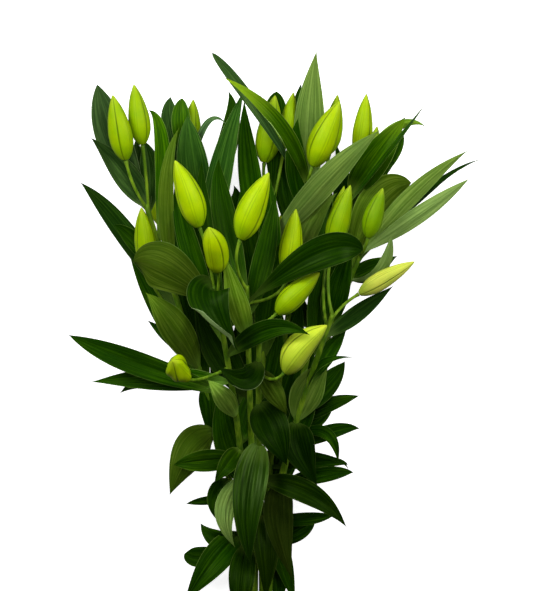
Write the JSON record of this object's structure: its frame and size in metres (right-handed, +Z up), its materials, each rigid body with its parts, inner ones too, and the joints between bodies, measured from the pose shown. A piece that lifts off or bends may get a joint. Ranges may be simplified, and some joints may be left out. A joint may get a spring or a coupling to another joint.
{
  "type": "bunch of cut lily stems in closed bud",
  "caption": "Bunch of cut oriental lily stems in closed bud, with dark green leaves and lime green buds, held by a rubber band and lying on its side",
  "frame": {"origin": "under the middle of the bunch's box, on the surface that it lies on", "axes": "+Y along the stems from the cut ends to the buds, +X to the right as the camera sees it, +Z up"},
  "size_m": [0.5342, 0.903, 0.2627],
  "materials": {
    "foliage": "waxy leaf",
    "bud": "smooth waxy bud",
    "band": "matt"
  },
  "bodies": {
    "root": {"leafy_stem_a": "foliage", "leafy_stem_b": "foliage", "leafy_stem_c": "foliage", "leafy_stem_d": "foliage", "leafy_stem_g": "foliage", "leafy_stem_h": "foliage", "leafy_stem_i": "foliage", "leafy_stem_j": "foliage", "leafy_stem_k": "foliage", "leafy_stem_l": "foliage", "bud_a1": "bud", "bud_a2": "bud", "bud_a3": "bud", "bud_b1": "bud", "bud_b2": "bud", "bud_b3": "bud", "bud_c1": "bud", "bud_c2": "bud", "bud_d1": "bud", "bud_d2": "bud", "bud_g1": "bud", "bud_g2": "bud", "bud_g4": "bud", "bud_h1": "bud", "bud_h2": "bud", "bud_h3": "bud", "bud_i1": "bud", "bud_i2": "bud", "bud_j1": "bud", "bud_j2": "bud", "bud_j3": "bud", "bud_k1": "bud", "bud_k2": "bud", "bud_k3": "bud", "bud_l1": "bud", "bud_l2": "bud", "rubber_band": "band"}
  },
  "joints": []
}
